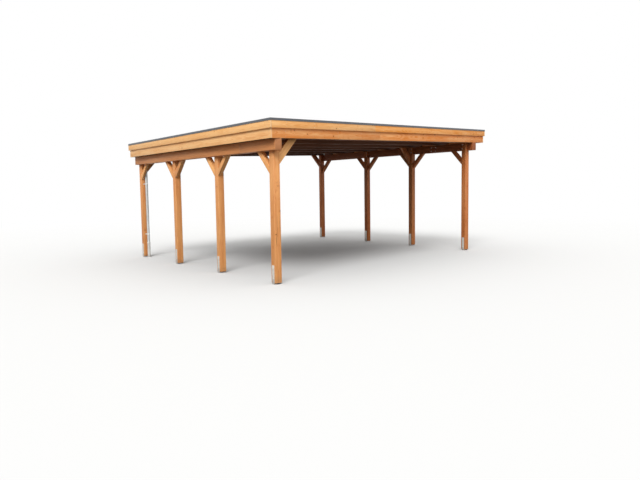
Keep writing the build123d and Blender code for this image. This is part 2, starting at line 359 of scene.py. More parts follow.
# %% The group that draws wood
def build_wood_figure():
    """Node group for the stained softwood of every timber."""
    inputs = [
        ("Light Stain", "Color", (0.8, 0.5, 0.25, 1)),
        ("Dark Stain", "Color", (0.5, 0.25, 0.1, 1)),
        ("Knot", "Color", (0.15, 0.05, 0.02, 1)),
        ("End", "Color", (0.5, 0.35, 0.2, 1)),
        ("Ring Width", "Float", 0.0045),
        ("Cracks", "Float", 1.0),
    ]
    outputs = [("Color", "Color"), ("Roughness", "Float"), ("Height", "Float")]
    group, w, start, end = new_group("wood_figure", inputs, outputs)
    wood = w.attribute("wood", "Vector")
    tone = w.attribute("tone", "Fac")

    # Knots sit at the points of a cell texture; a little noise takes their roundness away.
    warped = w.node("TexNoise", {"Vector": wood, "Scale": 14.0, "Detail": 2.0}, "Color")
    inputs = {0: warped, 1: (0.012, 0.012, 0.012), 2: wood}
    near_knot = w.node("VectorMath", inputs, operation="MULTIPLY_ADD")
    knot_far = w.node("TexVoronoi", {"Vector": near_knot, "Scale": 6.5}, "Distance")
    knot_core = w.fade(knot_far, 0.085, 0.055)
    knot_halo = w.fade(knot_far, 0.30, 0.05)

    # Rings: the wobbling distance from the heart, pushed outwards round a knot.
    _, side, up = w.split(wood)
    wander = w.noise(w.stretch(wood, 0.8, 5.0, 5.0), 1.0, 2.0)
    ripple = w.noise(w.stretch(wood, 5.0, 40.0, 40.0), 1.0, 1.0)
    squares = w.plus(w.math("POWER", side, 2.0), w.math("POWER", up, 2.0))
    round_heart = w.math("SQRT", squares)
    distance = w.plus(round_heart, w.times(wander, 0.06))
    distance = w.plus(distance, w.times(ripple, 0.003))
    distance = w.plus(distance, w.times(knot_halo, 0.014))
    phase = w.math("FRACT", w.math("DIVIDE", distance, start["Ring Width"]))
    late_wood = w.times(w.fade(phase, 0.25, 0.80), w.fade(phase, 1.0, 0.84))

    # Streaks and fibres run with the grain; thirsty patches drink more stain.
    streak = w.noise(w.stretch(wood, 0.9, 16.0, 16.0), 1.0, 3.0, 0.6)
    fibre = w.noise(w.stretch(wood, 9.0, 320.0, 320.0), 1.0, 2.0, 0.6)
    drink = w.noise(w.stretch(wood, 1.6, 4.5, 4.5), 1.0, 3.0, 0.55)

    # Drying cracks follow the middle line of a stretched noise, here and there.
    crack_line = w.noise(w.stretch(wood, 0.55, 11.0, 11.0), 1.0, 1.0)
    crack_line = w.math("ABSOLUTE", w.minus(crack_line, 0.5))
    crack_here = w.fade(w.noise(w.stretch(wood, 0.7, 3.0, 3.0), 1.0, 1.0), 0.60, 0.66)
    crack = w.times(w.fade(crack_line, 0.007, 0.0025), crack_here)
    crack = w.times(crack, start["Cracks"])

    # The tone moves the colour between the light and the dark stain: a stain tone on most
    # timbers, painted light on some given tones and painted shade on others.
    depth = w.plus(w.times(late_wood, 0.30), w.fade(streak, 0.32, 0.70, 0.03, 0.40))
    depth = w.plus(depth, w.fade(drink, 0.35, 0.68, -0.06, 0.14))
    depth = w.plus(depth, w.fade(fibre, 0.35, 0.65, -0.06, 0.08))
    stain_and_painted_light = w.minus(w.math("MINIMUM", tone, 1.5), 0.5)
    depth = w.plus(depth, w.times(stain_and_painted_light, 0.40))
    depth = w.node("Clamp", {0: w.plus(depth, w.times(knot_halo, 0.18))})
    colour = w.mix(depth, start["Light Stain"], start["Dark Stain"])
    colour = w.mix(w.times(knot_core, 0.75), colour, start["Knot"])
    colour = w.mix(w.times(crack, 0.80), colour, start["Knot"])
    ends = w.attribute("end_grain", "Fac")
    end_tone = w.mix(w.times(late_wood, 0.35), start["End"], start["Dark Stain"])
    colour = w.mix(w.times(ends, 0.75), colour, end_tone)

    # A tone over 1.6 multiplies the dark stain into the colour: painted shade for the timbers
    # that stand deep under the roof.
    painted_deep_shade = w.fade(tone, 1.6, 3.0, 0.0, 0.8)
    colour = w.mix(painted_deep_shade, colour, start["Dark Stain"], "MULTIPLY")
    w.feed(end["Color"], colour)

    rough = w.fade(streak, 0.3, 0.7, 0.50, 0.62)
    w.feed(end["Roughness"], w.plus(rough, w.times(crack, 0.3)))
    height = w.times(late_wood, 0.0001)
    height = w.plus(height, w.times(fibre, 0.0002))
    height = w.minus(height, w.times(crack, 0.003))
    height = w.minus(height, w.times(knot_core, 0.0004))
    w.feed(end["Height"], height)
    return group


wood_figure = build_wood_figure()
print("group", wood_figure.name, len(wood_figure.nodes), "nodes")

# %% [markdown]
# Two more effects belong to several finishes. Edges lose their stain first, so the faces that
# were eased are a little paler. Low down, rain throws up grit: a ragged grey-brown band that
# is strongest in the lowest hand's breadth and gone about 0.3 m up.

# %% Groups for worn edges and splashed feet
def build_edge_wear():
    """Node group that pales the eased edges, here and there."""
    inputs = [
        ("Color", "Color", (0.5, 0.5, 0.5, 1)),
        ("Bare", "Color", (0.8, 0.6, 0.4, 1)),
        ("Amount", "Float", 0.5),
    ]
    group, w, start, end = new_group("edge_wear", inputs, [("Color", "Color")])
    arris = w.attribute("arris", "Fac")
    place = w.node("NewGeometry", {}, "Position")
    patches = w.fade(w.noise(place, 9.0, 3.0), 0.35, 0.65, 0.25, 1.0)
    share = w.times(w.times(arris, patches), start["Amount"])
    w.feed(end["Color"], w.mix(share, start["Color"], start["Bare"]))
    return group


def build_rain_splash():
    """Node group for the grit that rain throws up on the lowest parts."""
    inputs = [
        ("Color", "Color", (0.5, 0.5, 0.5, 1)),
        ("Grit", "Color", (0.25, 0.22, 0.18, 1)),
        ("Reach", "Float", 0.4),
        ("Amount", "Float", 0.6),
    ]
    group, w, start, end = new_group("rain_splash", inputs, [("Color", "Color"), ("Mask", "Float")])
    place = w.node("NewGeometry", {}, "Position")
    ragged = w.times(w.noise(place, 16.0, 4.0, 0.65), 0.9)
    level = w.math("DIVIDE", w.split(place)[2], start["Reach"])
    mask = w.fade(w.plus(level, ragged), 1.0, 0.2)
    mask = w.times(mask, start["Amount"])
    w.feed(end["Color"], w.mix(mask, start["Color"], start["Grit"]))
    w.feed(end["Mask"], mask)
    return group


edge_wear = build_edge_wear()
rain_splash = build_rain_splash()
print("groups", edge_wear.name, rain_splash.name)

# %% [markdown]
# A timber finish is the figure, then the worn edges, then the splash on pieces that stand
# low. The stain on the lower boards is a shade redder than on the upper ones. The joists and
# the deck under the roof are made much darker: painted shade, since no sun reaches them.
# Each finish is one entry of a list, since only colours and amounts differ between them.

# %% Timber finishes
knot_colour = srgb(100, 54, 26)
bare_edge = srgb(236, 190, 138)
grit_colour = srgb(128, 112, 92)
splash_height = 0.32


def timber_finish(name, light, dark, end, cracks=1.0, wear=0.5, splash=0.0, shine=0.3):
    """Stained timber between a light and a dark colour, with its own colour on sawn ends."""
    material, w, shader = new_material(name)
    inputs = {
        "Light Stain": srgb(*light), "Dark Stain": srgb(*dark), "End": srgb(*end),
        "Knot": knot_colour, "Cracks": cracks,
    }
    figure = w.place(wood_figure, inputs)
    worn = w.place(edge_wear, {"Color": figure["Color"], "Bare": bare_edge, "Amount": wear})
    colour = worn["Color"]
    if splash:
        inputs = {"Color": colour, "Grit": grit_colour, "Reach": splash_height, "Amount": splash}
        colour = w.place(rain_splash, inputs)["Color"]
    w.feed(shader["Base Color"], colour)
    w.feed(shader["Roughness"], figure["Roughness"])
    w.bump(shader, figure["Height"], 0.8)
    shader["Specular IOR Level"].default_value = shine
    return material


timber_colours = {
    "post_timber": ((240, 175, 110), (200, 121, 64), (206, 138, 80), {"splash": 0.35}),
    "beam_timber": ((220, 148, 90), (168, 96, 49), (172, 118, 80), {"wear": 0.4}),
    "brace_timber": ((255, 190, 120), (200, 118, 60), (196, 126, 72), {"wear": 0.6}),
    "lower_board_timber": ((255, 201, 138), (224, 129, 50), (255, 212, 160), {"cracks": 0.4}),
    "upper_board_timber": ((255, 199, 134), (230, 142, 52), (255, 216, 168), {"cracks": 0.4}),
    # Joists and deck: very dark colours, painted shade for the underside of the roof.
    "joist_timber": ((118, 68, 37), (80, 44, 24), (100, 60, 34), {"wear": 0.2, "shine": 0.15}),
    "deck_timber": (
        (110, 66, 38), (76, 42, 24), (90, 54, 32), {"cracks": 0.5, "wear": 0.2, "shine": 0.15},
    ),
    "kerb_timber": ((222, 176, 120), (180, 124, 74), (206, 150, 96), {"wear": 0.2}),
}
for name, (light, dark, end, options) in timber_colours.items():
    finishes[name] = timber_finish(name, light, dark, end, **options)
print("timber finishes", len(finishes))

# %% [markdown]
# ## Posts, beams, braces, joists and boards
# Each timber solid is replaced by a copy of itself with eased edges and grain. A bevel could
# also be a modifier on the solid, but then the new faces could not be marked as arrises, and
# the solid could not carry its grain. The seed of each piece is its own name, so every timber
# is a different piece of wood and the same one in each run.

# %% Kinds of timber
timber_kinds = [
    # word in the name, finish, eased edge in mm, distance to the heart of the log
    ("post", "post_timber", 1.5, 0.05),
    ("beam", "beam_timber", 2.0, 0.08),
    ("braces", "brace_timber", 2.5, 0.06),
    ("lower_fascia", "lower_board_timber", 2.0, 0.10),
    ("upper_fascia", "upper_board_timber", 2.0, 0.10),
    ("joist", "joist_timber", 2.0, 0.09),
    ("kerbs", "kerb_timber", 1.5, 0.06),
]
print("kinds of timber", len(timber_kinds))

# %% Joints of the long boards
joint_gap = 1.2 * MM
board_joints = {
    "front_lower_fascia": -0.675,
    "front_upper_fascia": -0.86,
    "rear_lower_fascia": 0.675,
    "rear_upper_fascia": 0.86,
}


def split_length(mesh_work, x):
    """Cut a long board in two at x, square to the board, with a hair of a gap."""
    whole = bpy.data.meshes.new("whole board")
    mesh_work.to_mesh(whole)
    mesh_work.clear()
    along = Vector((1, skew, 0)).normalized()
    side = sum(vertex.co.y - skew * vertex.co.x for vertex in whole.vertices) / len(whole.vertices)
    middle = Vector((x, skew * x + side, 0))
    for way in (LOW, HIGH):
        length = bmesh.new()
        length.from_mesh(whole)
        geometry = length.verts[:] + length.edges[:] + length.faces[:]
        bmesh.ops.bisect_plane(
            length, geom=geometry, plane_co=middle + along * way * joint_gap / 2,
            plane_no=along * way, clear_inner=True,
        )
        open_edges = [edge for edge in length.edges if edge.is_boundary]
        bmesh.ops.holes_fill(length, edges=open_edges, sides=0)
        half = bpy.data.meshes.new("board length")
        length.to_mesh(half)
        length.free()
        mesh_work.from_mesh(half)
        bpy.data.meshes.remove(half)
    bpy.data.meshes.remove(whole)


print("boards in two lengths", len(board_joints))

# %% [markdown]
# Most timbers take their tone by chance, as timbers from one stack do. Some are told theirs.
# The boards of the low side and the cross brace at the front left post are made paler:
# painted light, where the sun falls on them. The far row is made much darker: a tone over 1.6
# multiplies in the dark stain, which paints the deep shade under the roof. Two numbers make a
# tone, a level and a change for each metre to the right, so that two solids of one node can differ.

# %% Tones that aren't left to chance
piece_tones = {
    "front_lower_fascia": (1.45, 0.03),
    "front_upper_fascia": (1.00, 0.30),
    # Painted light: the boards of the low side are made paler where the sun falls on them.
    "left_lower_fascia": (-0.25, 0.0),
    "left_upper_fascia": (-0.25, 0.0),
    "left_post_1": (0.65, 0.0),
    "left_post_2": (0.75, 0.0),
    "left_post_3": (0.90, 0.0),
    "left_post_4": (1.20, 0.0),
    # Painted light: the cross brace at this post is paler, as painted sunlight; the row brace keeps a
    # plain tone.
    "left_braces_1": (-14.0, -4.5),
    # The far row: tones over 1.6, painted deep shade under the roof.
    "right_post_1": (2.20, 0.0),
    "right_post_2": (2.15, 0.0),
    "right_post_3": (2.40, 0.0),
    "right_post_4": (2.40, 0.0),
    "right_beam_front": (2.50, 0.0),
    "right_beam_rear": (2.45, 0.0),
    "right_braces_1": (2.35, 0.0),
    "right_braces_2": (2.30, 0.0),
    "right_braces_3": (2.40, 0.0),
    "right_braces_4": (2.40, 0.0),
}
print("tones given", len(piece_tones))

# %% Timber pieces from the solids
for node in sorted(solids):
    for word, finish, edge, heart in timber_kinds:
        if word in node:
            work = timber_work(node)
            if node in board_joints:
                split_length(work, board_joints[node])
            ease_edges(work, edge * MM)
            lay_grain(work, node, heart, *piece_tones.get(node, (None, 0.0)))
            make_piece(node + "_timber", work, finish, [node])
            break
print("timber pieces", len(triangles))

# %% [markdown]
# ## The deck seen from below
# The roof is closed with tongued boards laid over the joists, from front to rear. From below
# each joint is a small V groove. Grooves could be a bump on one slab, but real ones also break
# the light at a low angle. Long boards are rare, so each run is made of two lengths that meet
# on a joist, and the joints are staggered from run to run.

# %% Joists and pipe, which the boards have to meet
def joist_lines():
    """Middles of the joists behind the line y = skew x, and half of a joist's width along y."""
    work = timber_work("joists")
    lines = []
    for group in islands(work):
        offsets = [vertex.co.y - skew * vertex.co.x for vertex in group]
        lines.append((min(offsets) + max(offsets)) / 2)
        half = (max(offsets) - min(offsets)) / 2
    work.free()
    return sorted(lines), half


joist_places, joist_half = joist_lines()
pipe_low, pipe_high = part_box("downpipe")
pipe_centre = (pipe_low + pipe_high) / 2
print("joists", len(joist_places), "half a joist", round(joist_half, 4))

# %% Deck boards
board_face = 121 * MM
board_gap = 0.6 * MM
least_width = 10 * MM
groove = 3.0 * MM
end_gap = 1.5 * MM
outlet_hole = 29.5 * MM
deck_thickness = corner("roof_deck", LEFT, FRONT, HIGH).z - corner("roof_deck", LEFT, FRONT, LOW).z


def add_roof_prism(mesh_work, plan, low, high):
    """Upright prism over plan points, with both ends parallel to the roof."""
    bottom, top = [
        [mesh_work.verts.new((x, y, roof_z(x, height))) for x, y in plan] for height in (low, high)
    ]
    mesh_work.faces.new(list(reversed(bottom)))
    mesh_work.faces.new(top)
    join_rings(mesh_work, bottom, top)


def outlet_notch(y, start, end, count=10):
    """Half circle round the outlet in the end of a board at y, with angles in degrees."""
    points = []
    for place in range(count + 1):
        angle = math.radians(start + (end - start) * place / count)
        x = pipe_centre.x + outlet_hole * math.cos(angle)
        points.append((x, y + outlet_hole * math.sin(angle)))
    return points


def lay_deck_boards():
    """All deck boards as one mesh, with a hole shared by two lengths at the outlet."""
    work = bmesh.new()
    chance = random.Random("deck boards")
    x = pipe_centre.x - board_face / 2
    x -= board_face * math.ceil((x - edge_x(LEFT)) / board_face)
    while x < edge_x(RIGHT) - MM:
        x_a = max(x, edge_x(LEFT)) + board_gap / 2
        x_b = min(x + board_face, edge_x(RIGHT)) - board_gap / 2
        x += board_face
        if x_b - x_a < least_width:
            continue
        joint = skew * (x_a + x_b) / 2 + chance.choice(joist_places[2:-2])
        holed = x_a < pipe_centre.x < x_b
        if holed:
            joint = pipe_centre.y
        near, far = joint - end_gap / 2, joint + end_gap / 2
        near_notch = outlet_notch(near, 0, -180) if holed else []
        far_notch = outlet_notch(far, 180, 0) if holed else []
        front = [(x_a, edge_y(FRONT, x_a)), (x_b, edge_y(FRONT, x_b))]
        rear = [(x_b, edge_y(REAR, x_b)), (x_a, edge_y(REAR, x_a))]
        add_roof_prism(work, [*front, (x_b, near), *near_notch, (x_a, near)], -deck_thickness, 0)
        add_roof_prism(work, [(x_a, far), *far_notch, (x_b, far), *rear], -deck_thickness, 0)
    return work


deck_work = lay_deck_boards()
ease_edges(deck_work, groove, segments=1)
lay_grain(deck_work, "deck", heart=0.09)
make_piece("deck_boards", deck_work, "deck_timber", ["roof_deck"])

# %% [markdown]
# ## Metal finishes
# Galvanised steel, zinc and painted sheet meet here. Hot-dip galvanising leaves a pale skin of
# crystals, each about as wide as a fingernail and a slightly different grey. Rolled zinc goes
# dull and streaky where water runs. The drip flashing is painted slate grey and only dusty. A
# cell texture makes the crystals, stretched noise makes the streaks, and one group serves all.

# %% The group that weathers metal
def build_metal_skin():
    """Node group for crystals, streaks and dull spots on sheet metal."""
    inputs = [
        ("Base", "Color", (0.6, 0.6, 0.6, 1)),
        ("Dull", "Color", (0.4, 0.4, 0.4, 1)),
        ("Crystal Scale", "Float", 60.0),
        ("Crystal Share", "Float", 0.4),
        ("Streak Share", "Float", 0.4),
        ("Gloss", "Float", 0.35),
    ]
    outputs = [("Color", "Color"), ("Roughness", "Float"), ("Height", "Float")]
    group, w, start, end = new_group("metal_skin", inputs, outputs)
    place = w.node("NewGeometry", {}, "Position")
    cells = w.node("TexVoronoi", {"Vector": place, "Scale": start["Crystal Scale"]}, "Color")
    crystal = w.times(w.node("SeparateColor", {0: cells}), start["Crystal Share"])
    streak = w.noise(w.stretch(place, 26.0, 26.0, 1.4), 1.0, 4.0, 0.6)
    streak = w.times(w.fade(streak, 0.38, 0.70), start["Streak Share"])
    spots = w.fade(w.noise(place, 38.0, 4.0, 0.7), 0.55, 0.75, 0.0, 0.25)
    share = w.node("Clamp", {0: w.plus(w.plus(crystal, streak), spots)})
    w.feed(end["Color"], w.mix(share, start["Base"], start["Dull"]))
    w.feed(end["Roughness"], w.plus(start["Gloss"], w.times(share, 0.3)))
    w.feed(end["Height"], w.times(w.noise(place, 55.0, 2.0), 0.0002))
    return group


metal_skin = build_metal_skin()
metal_splash_height = 0.22


def metal_finish(name, base, dull, scale, crystals, streaks, gloss, metallic, splash=0.0):
    """Weathered sheet metal."""
    material, w, shader = new_material(name)
    inputs = {
        "Base": srgb(*base), "Dull": srgb(*dull), "Crystal Scale": scale,
        "Crystal Share": crystals, "Streak Share": streaks, "Gloss": gloss,
    }
    skin = w.place(metal_skin, inputs)
    colour = skin["Color"]
    if splash:
        reach = metal_splash_height
        inputs = {"Color": colour, "Grit": grit_colour, "Reach": reach, "Amount": splash}
        colour = w.place(rain_splash, inputs)["Color"]
    w.feed(shader["Base Color"], colour)
    w.feed(shader["Roughness"], skin["Roughness"])
    w.bump(shader, skin["Height"], 0.5)
    shader["Metallic"].default_value = metallic
    return material


metals = {
    # base and dull colour, crystal scale and share, streaks, gloss, metallic, splash
    "galvanised_steel": ((224, 221, 214), (182, 181, 176), 110.0, 0.35, 0.25, 0.40, 0.60, 0.5),
    "weathered_zinc": ((212, 214, 212), (166, 170, 170), 30.0, 0.25, 0.80, 0.40, 0.60),
    "standpipe_zinc": ((230, 228, 222), (190, 189, 183), 30.0, 0.20, 0.50, 0.45, 0.45, 0.5),
    "clip_zinc": ((240, 240, 236), (206, 206, 200), 30.0, 0.15, 0.30, 0.40, 0.20),
    "slate_grey_metal": ((86, 90, 96), (112, 115, 118), 20.0, 0.15, 0.55, 0.42, 0.35),
}
for name, values in metals.items():
    finishes[name] = metal_finish(name, *values)
print("metal finishes", len(metals))

# %% [markdown]
# ## Turned and square shapes
# Bolts, washers, rings and pipes are round about an axis, so one function spins a profile of
# radius and distance. With six segments the same function makes hexagons. Straps, brackets and
# plates are blocks laid in a frame of three directions.

# %% Helpers for turned and square shapes
def add_turned(mesh_work, origin, axis, profile, segments=20, closed=False):
    """Spin a profile of (radius, distance along the axis) points round an axis."""
    axis = Vector(axis).normalized()
    first = axis.orthogonal().normalized()
    second = axis.cross(first)
    rings = []
    for radius, along in profile:
        middle = Vector(origin) + axis * along
        if radius < WELD:
            rings.append([mesh_work.verts.new(middle)])
            continue
        ring = []
        for place in range(segments):
            angle = math.tau * place / segments
            away = first * math.cos(angle) + second * math.sin(angle)
            ring.append(mesh_work.verts.new(middle + away * radius))
        rings.append(ring)
    for ring, after in zip(rings, rings[1:]):
        join_rings(mesh_work, ring, after)
    if closed:
        join_rings(mesh_work, rings[-1], rings[0])


def add_block(mesh_work, centre, directions, sizes):
    """Block about a centre, given three directions and its size along each."""
    halves = [Vector(way).normalized() * size / 2 for way, size in zip(directions, sizes)]
    rings = []
    for level in (LOW, HIGH):
        middle = Vector(centre) + halves[2] * level
        ring = [mesh_work.verts.new(middle + halves[0] * a + halves[1] * b) for a, b in SQUARE]
        rings.append(ring)
    mesh_work.faces.new(list(reversed(rings[0])))
    mesh_work.faces.new(rings[1])
    join_rings(mesh_work, *rings)


trial = bmesh.new()
add_turned(trial, (0, 0, 0), (0, 0, 1), [(0, 0), (1, 0), (1, 1), (0, 1)], 6)
print("a six-sided bar takes", len(trial.verts), "points and", len(trial.faces), "faces")
trial.free()

# %% [markdown]
# The fixings are turned too. A countersunk head stands a hair proud of the wood, with a recess
# for the driver. A washer head is a shallow dome. A bolt is a hexagon on a washer, and its other
# end shows a nut and three turns of thread.

# %% Screws, with their radius in millimetres
countersunk_sides = 12
washer_head_sides = 18


def add_countersunk(mesh_work, place, outwards, radius):
    """Countersunk screw head with a drive recess."""
    profile = in_mm(
        (0, -1.4), (0.34 * radius, -1.4), (0.40 * radius, 0.2),
        (0.80 * radius, 0.4), (radius, 0), (0.5 * radius, -3), (0, -3),
    )
    add_turned(mesh_work, place, outwards, profile, countersunk_sides)


def add_washer_head(mesh_work, place, outwards, radius):
    """Domed washer head of a long timber screw."""
    profile = in_mm(
        (0, 1.2), (0.28 * radius, 1.2), (0.33 * radius, 3.4), (0.55 * radius, 3.2),
        (0.85 * radius, 1.8), (radius, 0.9), (radius, -0.2), (0, -0.2),
    )
    add_turned(mesh_work, place, outwards, profile, washer_head_sides)


print("screw heads have", countersunk_sides, "or", washer_head_sides, "sides")

# %% Bolts and nuts, in millimetres
bolt_radius = 6
washer_radius = 12
washer_height = 2.5
head_height = 7.5
nut_height = 10
thread_pitch = 1.75
across_flats = 19
hexagon_radius = across_flats / 2 / math.cos(math.radians(30))
washer_sides, thread_sides = 24, 16


def add_hexagon(mesh_work, place, outwards, start, end):
    """Hexagon with its outer corners turned off."""
    profile = in_mm(
        (0, start), (hexagon_radius, start), (hexagon_radius, end - 1.2),
        (0.86 * hexagon_radius, end), (0, end),
    )
    add_turned(mesh_work, place, outwards, profile, 6)


def add_washer(mesh_work, place, outwards):
    """Flat washer with a softened rim."""
    profile = in_mm(
        (0, 0), (washer_radius, 0), (washer_radius, 0.8 * washer_height),
        (0.96 * washer_radius, washer_height), (0, washer_height),
    )
    add_turned(mesh_work, place, outwards, profile, washer_sides)


def add_bolt_head(mesh_work, place, outwards):
    """Washer and bolt head."""
    add_washer(mesh_work, place, outwards)
    add_hexagon(mesh_work, place, outwards, washer_height, washer_height + head_height)


def add_nut(mesh_work, place, outwards):
    """Washer, nut and the end of the thread."""
    level = washer_height + nut_height
    add_washer(mesh_work, place, outwards)
    add_hexagon(mesh_work, place, outwards, washer_height, level)
    profile = [(0, level - 1), (bolt_radius, level - 1)]
    for _ in range(3):
        profile += [(bolt_radius, level), (0.88 * bolt_radius, level + 0.9)]
        level += thread_pitch
    profile += [(0.8 * bolt_radius, level), (0, level)]
    add_turned(mesh_work, place, outwards, in_mm(*profile), thread_sides)


print("bolt", 2 * bolt_radius, "mm, across flats", across_flats, "mm")

# %% [markdown]
# ## Post anchors
# Each anchor is two plates welded to a seat and bolted through the post. The plates keep their
# place and get softened edges. The welds run along the underside of the seat, with the ripples
# that a hand-made run shows. Heads are outside, nuts inside, where nobody brushes past them.

# %% Anchor plates, welds and bolts
bolt_levels = (0.09, 0.24)
weld_size = 4 * MM
weld_inset = 3 * MM
seat_thickness = 8 * MM


def add_weld(mesh_work, start, end, across, down):
    """Fillet weld along an inner corner, swelling and shrinking like a run of beads."""
    steps = 26
    rings = []
    for place in range(steps + 1):
        middle = start.lerp(end, place / steps)
        size = weld_size * (1.0 if place % 2 else 0.8)
        if place in (0, steps):
            size = weld_size * 0.5
        ring = [(0, 0), (size, 0), (0.62 * size, 0.62 * size), (0, size)]
        rings.append([mesh_work.verts.new(middle + across * a + down * b) for a, b in ring])
    for ring, after in zip(rings, rings[1:]):
        join_rings(mesh_work, ring, after)
    mesh_work.faces.new(rings[0])
    mesh_work.faces.new(list(reversed(rings[-1])))


def row_posts(row):
    """Boxes of a row's posts from front to rear."""
    return [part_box(node) for node in sorted(solids) if node.startswith(row + "_post_")]


def dress_anchors(row, outer_side):
    """Plates, welds, bolts and nuts of one row of anchors."""
    plates = timber_work(row + "_anchors")
    ease_edges(plates, 0.8 * MM, sharp_angle=60)
    make_piece(row + "_anchor_plates", plates, "galvanised_steel", [row + "_anchors"])
    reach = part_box(row + "_anchors")
    fixings = bmesh.new()
    down = Vector((0, 0, -1))
    posts = row_posts(row)
    row_length = posts[-1][0].y - posts[0][0].y
    half_weld = (reach[1].y - reach[0].y - row_length) / 2 - weld_inset
    for low, high in posts:
        middle = (low.y + high.y) / 2
        under = low.z - seat_thickness
        for side, post_face, plate_face in ((LEFT, low.x, reach[0].x), (RIGHT, high.x, reach[1].x)):
            across = Vector((-side, 0, 0))
            start = Vector((post_face, middle - half_weld, under))
            end = Vector((post_face, middle + half_weld, under))
            add_weld(fixings, start, end, across, down)
            for level in bolt_levels:
                place = Vector((plate_face, middle, level))
                if side == outer_side:
                    add_bolt_head(fixings, place, (side, 0, 0))
                else:
                    add_nut(fixings, place, (side, 0, 0))
    make_piece(row + "_anchor_bolts", fixings, "galvanised_steel")


dress_anchors("left", LEFT)
dress_anchors("right", RIGHT)

# %% [markdown]
# ## The four edges of the roof
# Flashing, boards and their screws all follow the roof's edges. One small class gives a point
# on an edge: how far along it, how far outwards, and how high over the deck. At a corner the
# point lies on the mitre between two edges.

# %% Edges of the roof
class RoofEdge:
    """One edge of the roof, walked with the outside on the right hand."""

    def __init__(self, start, finish):
        self.start = start
        self.finish = finish
        first = self.mitre(start, 0)
        last = self.mitre(finish, 0)
        self.length = (last - first).length
        self.along = (last - first).normalized()
        self.out = Vector((self.along.y, -self.along.x))

    def mitre(self, roof_corner, outwards):
        side, end = roof_corner
        x = edge_x(side, outwards)
        return Vector((x, edge_y(end, x, outwards)))

    def point(self, place, outwards, height):
        """Point at a distance along, or on the mitre called start or finish."""
        if place == "start":
            flat = self.mitre(self.start, outwards)
        elif place == "finish":
            flat = self.mitre(self.finish, outwards)
        else:
            flat = self.mitre(self.start, 0) + self.along * place + self.out * outwards
        return Vector((flat.x, flat.y, roof_z(flat.x, height)))


roof_edges = {
    "front": RoofEdge((LEFT, FRONT), (RIGHT, FRONT)),
    "right": RoofEdge((RIGHT, FRONT), (RIGHT, REAR)),
    "rear": RoofEdge((RIGHT, REAR), (LEFT, REAR)),
    "left": RoofEdge((LEFT, REAR), (LEFT, FRONT)),
}


def height_range(node):
    """Lowest and highest point of a solid, measured from the top of the deck."""
    heights = [vertex.co.z - roof_z(vertex.co.x, 0) for vertex in solids[node].data.vertices]
    return min(heights), max(heights)


board_thickness = -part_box("left_upper_fascia")[0].x - half_width
lower_low, _ = height_range("left_lower_fascia")
upper_low, kerb_top = height_range("left_upper_fascia")
flashing_low, flashing_high = height_range("left_flashing")
print("boards from", round(lower_low, 3), "to", round(kerb_top, 3), "thick", round(board_thickness, 3))

# %% [markdown]
# ## Drip flashing
# The flashing is sheet a millimetre thick, bent over the kerb and the top of the boards. At the
# bottom it kicks out and is folded back on itself, so that drops fall clear of the wood. It is
# laid in lengths of up to two metres with a hair of a gap, and a cover strip over each gap.
# A bevelled curve would draw such a section too, but it can't be mitred on skewed corners, so
# the section is swept point by point along each edge.

# %% Bent sheet
def round_bends(points, radius, steps=4):
    """Replace each inner corner of a line by a short curve."""
    line = [Vector(points[0])]
    for before, here, after in zip(points, points[1:], points[2:]):
        before, here, after = Vector(before), Vector(here), Vector(after)
        reach_in = min(radius, (here - before).length * 0.45)
        reach_out = min(radius, (after - here).length * 0.45)
        first = here + (before - here).normalized() * reach_in
        last = here + (after - here).normalized() * reach_out
        for place in range(steps + 1):
            share = place / steps
            line.append(first.lerp(here, share).lerp(here.lerp(last, share), share))
    line.append(Vector(points[-1]))
    return line


def beside(line, distance):
    """The same line moved to its left by a distance."""
    moved = []
    for place, point in enumerate(line):
        before = line[max(place - 1, 0)]
        after = line[min(place + 1, len(line) - 1)]
        way = (after - before).normalized()
        moved.append(point + Vector((-way.y, way.x)) * distance)
    return moved


def sweep_sheet(mesh_work, edge, places, line, thickness):
    """Sheet with a bent section, swept along an edge of the roof."""
    faces_out = beside(line, -thickness / 2)
    faces_in = beside(line, thickness / 2)
    rings = []
    for place in places:
        section = faces_out + faces_in[::-1]
        rings.append([mesh_work.verts.new(edge.point(place, out, height)) for out, height in section])
    for ring, after in zip(rings, rings[1:]):
        join_rings(mesh_work, ring, after)
    for ring in (rings[0], rings[-1]):
        for place in range(len(line) - 1):
            mesh_work.faces.new([ring[place], ring[place + 1], ring[-place - 2], ring[-place - 1]])


bend_points = len(round_bends(((0, 0), (1, 0), (1, 1)), 0.1)) - 2
print("a bend is drawn with", bend_points, "points")

# %% Drip flashing
sheet_thickness = 1.0 * MM
cover_thickness = 0.8 * MM
sheet_length = 2.0
cover_width = 80 * MM
kick_reach = -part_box("left_flashing")[0].x - half_width
inner_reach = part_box("left_flashing")[1].x + half_width
face_out = board_thickness + 0.7 * MM
top_level = flashing_high - cover_thickness - sheet_thickness / 2
kick_tip = (kick_reach - 1.6 * MM, flashing_low + 2.2 * MM)
flashing_line = [
    (board_thickness + 2.2 * MM, flashing_low + 4.6 * MM),
    (kick_tip[0] - 0.6 * MM, kick_tip[1] - 1.2 * MM),
    kick_tip,
    (face_out, flashing_low + 7.5 * MM),
    (face_out, top_level),
    (-inner_reach + 0.6 * MM, top_level),
    (-inner_reach + 0.6 * MM, flashing_high - 19.5 * MM),
]
bent_line = round_bends(flashing_line, 2.0 * MM)
face_part = bent_line[1 + bend_points:]
end_gap_half = 0.5 * MM
cover_line = beside(face_part, -(sheet_thickness + cover_thickness) / 2)

